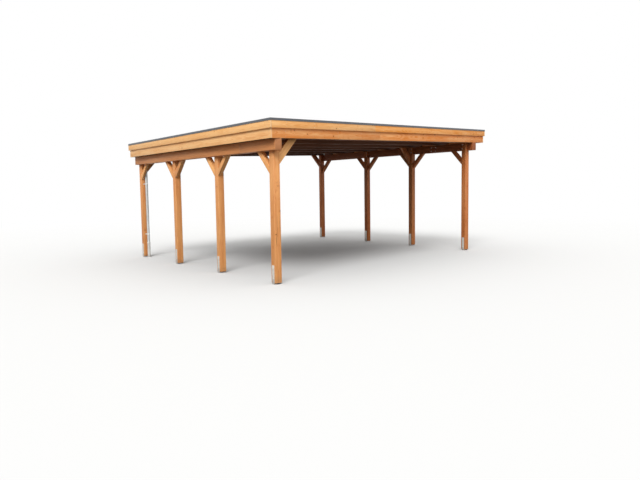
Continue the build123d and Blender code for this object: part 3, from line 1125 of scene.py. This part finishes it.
for name, edge in roof_edges.items():
    work = bmesh.new()
    count = math.ceil(edge.length / sheet_length)
    cuts = [edge.length * place / count for place in range(1, count)]
    starts = ["start"] + [cut + end_gap_half for cut in cuts]
    ends = [cut - end_gap_half for cut in cuts] + ["finish"]
    for stretch in zip(starts, ends):
        sweep_sheet(work, edge, stretch, bent_line, sheet_thickness)
    for cut in cuts:
        stretch = (cut - cover_width / 2, cut + cover_width / 2)
        sweep_sheet(work, edge, stretch, cover_line, cover_thickness)
    make_piece(name + "_drip_flashing", work, "slate_grey_metal", [name + "_flashing"], smooth_angle=25)

# %% [markdown]
# ## Fixings of the boards
# The lower board is screwed to the joists behind it, the upper one to the lower board and to
# the kerb. Along the sides the screws sit where joists end; along the front and rear they are
# evenly spaced, about 0.6 m apart. Two rows to a board, each screw a hair out of line.

# %% Screws of the boards
screw_rows = [
    (0.0, lower_low + 35 * MM), (0.0, lower_low + 105 * MM),
    (board_thickness, upper_low + 26 * MM), (board_thickness, upper_low + 88 * MM),
]
screw_pitch = 0.62
board_screw_radius = 4.5
rim_joist_half = 30 * MM


def screw_places(name):
    """Distances along an edge where the boards are fixed."""
    edge = roof_edges[name]
    if name in ("front", "rear"):
        count = round(edge.length / screw_pitch)
        return [edge.length * (place + 0.5) / count for place in range(count)]
    start = edge.mitre(edge.start, 0)
    ys = [skew * start.x + place for place in joist_places]
    rim = half_length - board_thickness - rim_joist_half
    ys += [skew * start.x - rim, skew * start.x + rim]
    return [abs(y - start.y) for y in ys]


screws = bmesh.new()
chance = random.Random("board screws")
for name, edge in roof_edges.items():
    for place in screw_places(name):
        for outwards, height in screw_rows:
            shift = chance.uniform(-4, 4) * MM
            point = edge.point(place + shift, outwards, height + chance.uniform(-2, 2) * MM)
            add_countersunk(screws, point, (*edge.out, 0), board_screw_radius)
make_piece("board_screws", screws, "galvanised_steel")

# %% [markdown]
# ## Fixings of the frame
# Long screws with washer heads pull each beam against the tongues of the posts, from inside,
# and hold the half-lap of the beam. The braces are screwed through their lower faces. Angle
# brackets tie the joists down to the beams, because wind tries to lift a flat roof.

# %% Screws of posts and beams
head_radius = 11
post_screw_inset = 20 * MM
post_screw_rises = (40 * MM, 130 * MM)
lap_screw_rises = (45 * MM, 125 * MM)
lap_screw_shares = (0.22, 0.78)


def nearest_joist(x, y):
    """Y of the middle of the joist that crosses a place most closely."""
    return min((skew * x + place for place in joist_places), key=lambda line: abs(line - y))


def screw_beam(mesh_work, row, outer_side):
    """Screws from inside, through the posts and through the half lap, into a row's beam."""
    front_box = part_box(row + "_beam_front")
    inwards = (-outer_side, 0, 0)
    places = []
    for low, high in row_posts(row):
        inner_x = high.x if outer_side == LEFT else low.x
        middle = (low.y + high.y) / 2
        joist_before = nearest_joist(inner_x, middle) < middle
        y = high.y - post_screw_inset if joist_before else low.y + post_screw_inset
        places += [(inner_x, y, rise) for rise in post_screw_rises]
    lap_start, lap_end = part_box(row + "_beam_rear")[0].y, front_box[1].y
    inner_x = front_box[1].x if outer_side == LEFT else front_box[0].x
    for share in lap_screw_shares:
        y = lap_start + (lap_end - lap_start) * share
        places += [(inner_x, y, rise) for rise in lap_screw_rises]
    for x, y, rise in places:
        add_washer_head(mesh_work, (x, y, front_box[0].z + rise), inwards, head_radius)


frame_screws = bmesh.new()
screw_beam(frame_screws, "left", LEFT)
screw_beam(frame_screws, "right", RIGHT)
print("screws in posts and beams", len(islands(frame_screws)))

# %% Screws of the braces
brace_screw_radius = 6.5
brace_screws = in_mm((45, -12), (95, 12))


def lowest_face(group):
    """Face of a solid that looks down the most."""
    faces = {face for vertex in group for face in vertex.link_faces}
    return min(faces, key=lambda face: face.normal.z)


def screw_brace(mesh_work, face):
    """Two screws near each end of a brace's lower face."""
    edge = max(face.edges, key=lambda edge: edge.calc_length())
    along = (edge.verts[1].co - edge.verts[0].co).normalized()
    side = along.cross(face.normal)
    half = edge.calc_length() / 2
    for way in (LOW, HIGH):
        for inset, shift in brace_screws:
            place = face.calc_center_median() + along * way * (half - inset) + side * shift
            add_countersunk(mesh_work, place, face.normal, brace_screw_radius)


for node in sorted(solids):
    if "braces" in node:
        work = timber_work(node)
        work.normal_update()
        for group in islands(work):
            screw_brace(frame_screws, lowest_face(group))
        work.free()
make_piece("frame_screws", frame_screws, "galvanised_steel")

# %% Angle brackets between joists and beams
UP = Vector((0, 0, 1))
bracket_leg = 90 * MM
bracket_width = 65 * MM
bracket_steel = 2.5 * MM
rib_reach = 14 * MM
rib_sizes = (6 * MM, 10 * MM, 34 * MM)
nail_radius = 4
nails = in_mm((-22, 30), (22, 30), (-12, 72), (12, 72), (0, 50))


def add_bracket(mesh_work, corner_point, across, out):
    """Angle bracket with a pressed rib, nailed along a joist and down to a beam."""
    upright = corner_point + UP * bracket_leg / 2 + out * bracket_steel / 2
    flat = corner_point + out * bracket_leg / 2 + UP * bracket_steel / 2
    rib = corner_point + (out + UP) * rib_reach
    add_block(mesh_work, upright, (across, out, UP), (bracket_width, bracket_steel, bracket_leg))
    add_block(mesh_work, flat, (across, out, UP), (bracket_width, bracket_leg, bracket_steel))
    add_block(mesh_work, rib, (across, out + UP, out - UP), rib_sizes)
    for shift, reach in nails:
        for leg, face in ((UP, out), (out, UP)):
            place = corner_point + across * shift + leg * reach + face * bracket_steel
            add_washer_head(mesh_work, place, face, nail_radius)


brackets = bmesh.new()
across = Vector((1, skew, fall)).normalized()
for row in ("left", "right"):
    low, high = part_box(row + "_beam_rear")
    x = (low.x + high.x) / 2
    for line in joist_places:
        way = LOW if line == joist_places[-1] else HIGH
        y = skew * x + line + way * joist_half
        out = Vector((-skew, 1, 0)).normalized() * way
        add_bracket(brackets, Vector((x, y, roof_z(x, lower_low))), across, out)
make_piece("joist_brackets", brackets, "galvanised_steel")

# %% [markdown]
# ## Rainwater parts
# A flanged outlet drops the water into a zinc pipe, held to the last post by two clips and
# stepped into a wider standpipe with a rolled rim. All of these are turned about one upright
# axis. The pipe also has the locked seam that a rolled pipe shows along its whole length.

# %% Downpipe
pipe_radius = (pipe_high.x - pipe_low.x) / 2
pipe_wall = 1.0 * MM
seam_inset = 0.6 * MM
seam_way = Vector((0.82, 0.57, 0)).normalized()
seam_width, seam_rise = 7 * MM, 0.8 * MM
pipe_sides = 40


def on_pipe(level):
    """Point on the pipe's axis at a level."""
    return Vector((pipe_centre.x, pipe_centre.y, level))


def add_tube(mesh_work, low, high, outer, wall, rim=0.4 * MM):
    """Upright tube on the pipe's axis with softened rims."""
    profile = [
        (outer - wall, low), (outer - rim, low), (outer, low + rim), (outer, high - rim),
        (outer - rim, high), (outer - wall, high),
    ]
    add_turned(mesh_work, on_pipe(0), UP, profile, pipe_sides, closed=True)


work = bmesh.new()
outer = pipe_radius - seam_inset
add_tube(work, pipe_low.z, pipe_high.z, outer, pipe_wall)
seam_middle = on_pipe(pipe_centre.z) + seam_way * (outer + 0.1 * MM)
seam_sizes = (seam_width, seam_rise, pipe_high.z - pipe_low.z - 2 * MM)
add_block(work, seam_middle, (seam_way.cross(UP), seam_way, UP), seam_sizes)
make_piece("rolled_downpipe", work, "weathered_zinc", ["downpipe"])

# %% Standpipe with a rolled rim and a bead under it
low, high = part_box("standpipe")
rim_outer = (high.x - low.x) / 2
outer = rim_outer - 4 * MM
inner = outer - 2 * MM
rim_low = high.z - 22 * MM
profile = [
    (inner, 0), (outer, 0), (outer, rim_low - 9 * MM), (outer + 1.5 * MM, rim_low - 6 * MM),
    (outer, rim_low - 3 * MM), (outer, rim_low), (rim_outer - 1.2 * MM, rim_low),
    (rim_outer, rim_low + 1.5 * MM), (rim_outer, high.z - 5 * MM),
    (rim_outer - 2 * MM, high.z - 1.5 * MM), (rim_outer - 5 * MM, high.z),
    (pipe_radius + 0.4 * MM, high.z), (pipe_radius, high.z - 3 * MM),
    (pipe_radius, rim_low + 2 * MM), (inner, rim_low - 4 * MM),
]
work = bmesh.new()
add_turned(work, on_pipe(0), UP, profile, pipe_sides, closed=True)
make_piece("rimmed_standpipe", work, "standpipe_zinc", ["standpipe"])

# %% Outlet, with a flange that follows the fall
low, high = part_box("roof_outlet")
flange_radius = (high.x - low.x) / 2
bore = pipe_radius - 3.4 * MM
spigot_wall = 1.4 * MM
flange_level = height_range("roof_outlet")[1] - 3 * MM
outlet_middle = on_pipe(roof_z(pipe_centre.x, flange_level))
profile = [
    (bore + 0.4 * MM, 0.1 * MM), (flange_radius, 0.1 * MM), (flange_radius, 1.2 * MM),
    (flange_radius - 8 * MM, 2.8 * MM), (bore + 5 * MM, 2.4 * MM), (bore + 1.2 * MM, 1.4 * MM),
]
work = bmesh.new()
add_turned(work, outlet_middle, (-fall, 0, 1), profile, pipe_sides, closed=True)
add_tube(work, low.z, outlet_middle.z + 1.0 * MM, bore + spigot_wall, spigot_wall)
make_piece("flanged_outlet", work, "weathered_zinc", ["roof_outlet"])

# %% [markdown]
# A wire basket stands over the outlet and keeps the pipe clear. Ten ribs bend over to the
# middle and two rings hold them. Each rib is a ring of six points pushed along a bent line: thin as
# it is, it casts its own shadow, which a pattern on a dome would not.

# %% Leaf basket, in millimetres
rib_count = 10
rib_wire = 1.2
rib_line = in_mm((38, 3), (40, 14), (37, 30), (27, 42), (8, 48))
basket_rings = ((39.5, 16), (10, 47))


def add_wire(mesh_work, points, radius, segments=6):
    """Round wire through points."""
    rings = []
    for place, point in enumerate(points):
        before = points[max(place - 1, 0)]
        after = points[min(place + 1, len(points) - 1)]
        way = (after - before).normalized()
        first = way.cross(Vector((0.31, 0.57, 0.76))).normalized()
        second = way.cross(first)
        ring = []
        for turn in range(segments):
            angle = math.tau * turn / segments
            away = first * math.cos(angle) + second * math.sin(angle)
            ring.append(mesh_work.verts.new(point + away * radius))
        rings.append(ring)
    for ring, after in zip(rings, rings[1:]):
        join_rings(mesh_work, ring, after)
    mesh_work.faces.new(list(reversed(rings[0])))
    mesh_work.faces.new(rings[-1])


basket = bmesh.new()
for place in range(rib_count):
    angle = math.tau * place / rib_count
    way = Vector((math.cos(angle), math.sin(angle), 0))
    points = [outlet_middle + way * radius + UP * level for radius, level in rib_line]
    add_wire(basket, points, rib_wire * MM)
for radius, level in basket_rings:
    ring = in_mm(
        (radius - rib_wire, level), (radius, level - rib_wire),
        (radius + rib_wire, level), (radius, level + rib_wire),
    )
    add_turned(basket, outlet_middle, UP, ring, 28, closed=True)
make_piece("leaf_basket", basket, "weathered_zinc")

# %% [markdown]
# Each clip is a band round the pipe, clamped by a screw through two ears. A spacer keeps it
# off the post, and a strap is screwed to the post's face. The parts are built where the clip's
# solid stands, so the pipe is held at the same two levels.

# %% Pipe clips
X_WAY, Y_WAY = Vector((1, 0, 0)), Vector((0, 1, 0))
band_steel = 1.8 * MM
ear_depth = 16 * MM
ear_shift = 3 * MM
ear_face = 3.9 * MM
strap_steel = 1.9 * MM
clamp_head = in_mm((0, 0), (4.5, 0), (4.5, 2), (3.4, 3), (0, 3))
clamp_nut = in_mm((0, 0), (5, 0), (5, 3.4), (4.4, 4), (0, 4))
spacer_radius = 4 * MM
strap_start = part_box("pipe_clips")[0].x
strap_end = pipe_centre.x + spacer_radius
post_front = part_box("left_post_4")[0].y


def add_clip(mesh_work, level, height):
    """Band, ears, clamping screw, spacer and strap of one clip."""
    axis = on_pipe(level)
    band_outer = pipe_radius + band_steel
    directions = (X_WAY, Y_WAY, UP)
    add_tube(mesh_work, level - height / 2, level + height / 2, band_outer, band_steel, 0.5 * MM)
    for way in (LOW, HIGH):
        ear = axis + X_WAY * way * ear_shift - Y_WAY * (band_outer + 7 * MM)
        add_block(mesh_work, ear, directions, (band_steel, ear_depth, height - 1 * MM))
    screw = axis - Y_WAY * (band_outer + 8 * MM)
    add_turned(mesh_work, screw - X_WAY * ear_face, -X_WAY, clamp_head, 14)
    add_turned(mesh_work, screw + X_WAY * ear_face, X_WAY, clamp_nut, 6)
    spacer_start = axis + Y_WAY * (pipe_radius + 1 * MM)
    length = post_front - spacer_start.y - band_steel
    spacer = [(0, 0), (spacer_radius, 0), (spacer_radius, length), (0, length)]
    add_turned(mesh_work, spacer_start, Y_WAY, spacer, 16)
    strap = Vector(((strap_start + strap_end) / 2, post_front - 1 * MM, level))
    strap_sizes = (strap_end - strap_start, strap_steel, height - 0.5 * MM)
    add_block(mesh_work, strap, directions, strap_sizes)
    screw = Vector((strap_start + 12 * MM, post_front - 2 * MM, level))
    add_washer_head(mesh_work, screw, -Y_WAY, 5)


solid_clips = timber_work("pipe_clips")
clips = bmesh.new()
for group in islands(solid_clips):
    levels = [vertex.co.z for vertex in group]
    add_clip(clips, (min(levels) + max(levels)) / 2, max(levels) - min(levels))
solid_clips.free()
make_piece("clamped_clips", clips, "clip_zinc", ["pipe_clips"])

# %% [markdown]
# ## Roofing sheet
# The roof is covered with dark sheet faced with fine slate grit. It comes in rolls a metre
# wide, laid from front to rear from the low side up, so each roll laps over the one below it
# and water never meets an open edge. At the kerbs it turns up through a small cove. The grit is
# far too fine to model, so it is colour and bump, while laps and coves are real steps.

# %% Roofing sheet finish
def build_roof_sheet():
    """Slate grit with paler wear and dust in long streaks."""
    material, w, shader = new_material("roof_sheet")
    place = w.node("NewGeometry", {}, "Position")
    grit = w.noise(place, 900.0, 2.0, 0.7)
    cloud = w.noise(place, 1.3, 5.0, 0.6)
    washed = w.noise(w.stretch(place, 0.5, 3.5, 1.0), 1.0, 4.0, 0.6)
    base = w.mix(w.fade(cloud, 0.35, 0.65), srgb(74, 78, 84), srgb(96, 99, 103))
    base = w.mix(w.fade(washed, 0.52, 0.72, 0.0, 0.45), base, srgb(128, 126, 120))
    base = w.mix(w.fade(grit, 0.40, 0.62, 0.0, 0.35), base, srgb(58, 60, 66))
    w.feed(shader["Base Color"], base)
    w.feed(shader["Roughness"], w.fade(grit, 0.3, 0.7, 0.86, 0.96))
    height = w.times(grit, 0.0006)
    w.bump(shader, height, 0.7)
    return material


finishes["roof_sheet"] = build_roof_sheet()
print("finish roof_sheet")

# %% [markdown]
# The sheet is a net of rows and columns. Each column knows how high the sheet lies there: a
# step up where a roll begins, a flat lap, and a soft slope down to the next roll. Near the
# kerbs rows and columns crowd together to draw the cove and the turn-up. The net is closed
# below by a flat copy of itself, and one cell is left open for the outlet.

# %% Lines of the net
roll_width = 1.0
lap_width = 90 * MM
lap_step = 2.4 * MM
lap_slope = 35 * MM
lap_edge = 0.3 * MM
sheet_base = 0.5 * (height_range("roof_membrane")[0] + 4 * MM)
membrane_inset = half_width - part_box("roof_membrane")[1].x
turn_up_top = kerb_top - 0.5 * MM
cove = [(0, turn_up_top), (2 * MM, turn_up_top)]
cove += in_mm((2.2, 26), (5, 17), (11, 8), (20, 3.5), (34, 0))
hole_half = 30 * MM
first_row, row_pitch, row_count = 0.25, 0.3, 18


def lap_lines():
    """Offsets from the roof's left edge and the rise of the sheet there."""
    lines = []
    offset = membrane_inset + roll_width
    while offset < 2 * half_width - membrane_inset - lap_width:
        lines += [
            (offset - lap_edge, 0), (offset + lap_edge, lap_step),
            (offset + lap_width, lap_step), (offset + lap_width + lap_slope, 0),
        ]
        offset += roll_width - lap_width
    return lines


def net_lines(length, extra):
    """Sorted (offset, rise, wall height) lines across a width of the roof."""
    lines = [(membrane_inset + out, 0.0, wall) for out, wall in cove]
    lines += [(length - membrane_inset - out, 0.0, wall) for out, wall in cove]
    lines += [(offset, rise, 0.0) for offset, rise in extra]
    return sorted(lines)


hole_x = pipe_centre.x + half_width
hole_y = pipe_centre.y - skew * pipe_centre.x + half_length
hole_sides = [(hole_x - hole_half, 0), (hole_x + hole_half, 0)]
hole_ends = [(hole_y - hole_half, 0), (hole_y + hole_half, 0)]
steps = [(membrane_inset + first_row + row_pitch * place, 0) for place in range(row_count)]
steps = [step for step in steps if abs(step[0] - hole_y) > 2 * hole_half]
columns = net_lines(2 * half_width, lap_lines() + hole_sides)
rows = net_lines(2 * half_length, steps + hole_ends)
print("net of", len(columns), "columns and", len(rows), "rows")

# %% Roofing sheet
def sheet_points(mesh_work):
    """Top and bottom points of the net, column by column."""
    chance = random.Random("roof sheet")
    tops, bottoms = [], []
    for across, rise, wall_x in columns:
        x = -half_width + across
        top_line, bottom_line = [], []
        for along, _, wall_y in rows:
            y = skew * x - half_length + along
            wall = max(wall_x, wall_y)
            wave = chance.uniform(-0.5, 0.5) * MM if wall == 0 and rise == 0 else 0
            level = max(wall, sheet_base + rise + wave)
            top_line.append(mesh_work.verts.new((x, y, roof_z(x, level))))
            bottom_line.append(mesh_work.verts.new((x, y, roof_z(x, 0.2 * MM))))
        tops.append(top_line)
        bottoms.append(bottom_line)
    return tops, bottoms


def over_hole(i, j):
    """True for the cell of the net that lies over the outlet."""
    middle_x = (columns[i][0] + columns[i + 1][0]) / 2
    middle_y = (rows[j][0] + rows[j + 1][0]) / 2
    return abs(middle_x - hole_x) < hole_half and abs(middle_y - hole_y) < hole_half


def join_nets(mesh_work, tops, bottoms):
    """Cells above and below, and the walls that close the rim and the hole."""
    last_i, last_j = len(columns) - 1, len(rows) - 1
    for i in range(last_i):
        for j in range(last_j):
            ring = [(i, j), (i + 1, j), (i + 1, j + 1), (i, j + 1)]
            top = [tops[a][b] for a, b in ring]
            bottom = [bottoms[a][b] for a, b in ring]
            if over_hole(i, j):
                join_rings(mesh_work, top, bottom)
            else:
                mesh_work.faces.new(top)
                mesh_work.faces.new([bottom[0], *bottom[:0:-1]])
    rim = [(i, 0) for i in range(last_i)] + [(last_i, j) for j in range(last_j)]
    rim += [(i, last_j) for i in range(last_i, 0, -1)] + [(0, j) for j in range(last_j, 0, -1)]
    join_rings(mesh_work, [bottoms[a][b] for a, b in rim], [tops[a][b] for a, b in rim])


work = bmesh.new()
join_nets(work, *sheet_points(work))
make_piece("lapped_roof_sheet", work, "roof_sheet", ["roof_membrane"], smooth_angle=20)

# %% [markdown]
# ## Floor, light and camera
# The floor is a plain pale plane. To the camera it fades to white far from the carport, so no
# horizon shows. One large soft lamp is the main light and gives the two sides their difference.
# A dome fills in: bright overhead, dim at the horizon, and brighter again low in front, where
# light comes back up under a roof. Whatever sees the world straight, through glass or in a
# mirror sees plain white, which costs the object no extra light.

# %% Floor
def seen_directly(w):
    """One for rays from the camera, from mirrors and through glass, and zero for light."""
    ray = w.tree.nodes.new("ShaderNodeLightPath").outputs
    seen = w.math("MAXIMUM", ray["Is Camera Ray"], ray["Is Glossy Ray"])
    return w.math("MAXIMUM", seen, ray["Is Transmission Ray"])


floor_reach = 300.0
floor_drop = 1.0 * MM
fade_from, fade_to = 7.0, 20.0
floor_mesh = bpy.data.meshes.new("studio_floor")
floor_corners = [(a * floor_reach, b * floor_reach, 0) for a, b in SQUARE]
floor_mesh.from_pydata(floor_corners, [], [(0, 1, 2, 3)])
floor = bpy.data.objects.new("studio_floor", floor_mesh)
floor.location.z = -floor_drop
bpy.context.scene.collection.objects.link(floor)

floor_material = bpy.data.materials.new("studio_floor")
floor_material.use_nodes = True
floor_material.node_tree.nodes.clear()
w = Wiring(floor_material.node_tree)
seen = seen_directly(w)
away = w.node("VectorMath", {0: w.node("NewGeometry", {}, "Position")}, "Value", operation="LENGTH")
far_share = w.times(w.fade(away, fade_from, fade_to), seen)
floor_colour = w.mix(seen, srgb(98, 98, 96), srgb(210, 210, 209))
lit = w.node("BsdfDiffuse", {"Color": floor_colour})
white = w.node("Emission", {"Color": (1, 1, 1, 1), "Strength": 1.0})
output = w.tree.nodes.new("ShaderNodeOutputMaterial")
w.feed(output.inputs["Surface"], w.node("MixShader", {0: far_share, 1: lit, 2: white}))
floor_mesh.materials.append(floor_material)
print("floor reaches", floor_reach, "m and fades from", fade_from, "to", fade_to, "m")

# %% Dome
world = bpy.data.worlds.new("studio")
bpy.context.scene.world = world
world.use_nodes = True
world.node_tree.nodes.clear()
w = Wiring(world.node_tree)
seen = seen_directly(w)
_, rearwards, up = w.split(w.node("TexCoord", {}, "Generated"))
overhead = w.fade(up, 0.0, 0.95, 0.24, 1.30)
front = w.fade(w.times(rearwards, -1.0), 0.1, 0.9, 0.0, 0.68)
low_front = w.times(front, w.fade(up, 0.85, 0.30))
dome = w.plus(overhead, low_front)
light = w.node("Background", {"Color": (1, 1, 1, 1), "Strength": dome})
backdrop = w.node("Background", {"Color": (1, 1, 1, 1), "Strength": 1.0})
output = w.tree.nodes.new("ShaderNodeOutputWorld")
w.feed(output.inputs["Surface"], w.node("MixShader", {0: seen, 1: light, 2: backdrop}))
print("dome made with", len(w.tree.nodes), "nodes")

# %% Soft lamp
lamp_steepness, lamp_turn = 50, -48
lamp_data = bpy.data.lights.new("soft_lamp", "SUN")
lamp_data.energy = 2.2
lamp_data.angle = math.radians(28)
lamp = bpy.data.objects.new("soft_lamp", lamp_data)
lamp.rotation_euler = (math.radians(lamp_steepness), 0, math.radians(lamp_turn))
bpy.context.scene.collection.objects.link(lamp)
print("lamp strength", round(lamp_data.energy, 2))

# %% Camera, from the measured photograph
camera_place = Vector((-8.394, -11.192, 1.487))
camera_yaw = math.radians(37.601)
camera_down = math.radians(4.880)
camera_roll = math.radians(-0.823)
focal_pixels = 599.7
image_width_pixels = 640
camera_data = bpy.data.cameras.new("photo_camera")
camera_data.sensor_width = 36.0
camera_data.lens = focal_pixels / image_width_pixels * camera_data.sensor_width
camera = bpy.data.objects.new("photo_camera", camera_data)
turn = Matrix.Rotation(-camera_yaw, 4, "Z")
tilt = Matrix.Rotation(math.pi / 2 - camera_down, 4, "X")
roll = Matrix.Rotation(camera_roll, 4, "Z")
camera.matrix_world = Matrix.Translation(camera_place) @ turn @ tilt @ roll
bpy.context.scene.collection.objects.link(camera)
bpy.context.scene.camera = camera
bpy.context.scene.view_settings.view_transform = "Standard"
print("lens", round(camera_data.lens, 2), "mm")

# %% [markdown]
# ## Triangles added

# %% Count the triangles
print("triangles added", sum(triangles.values()))
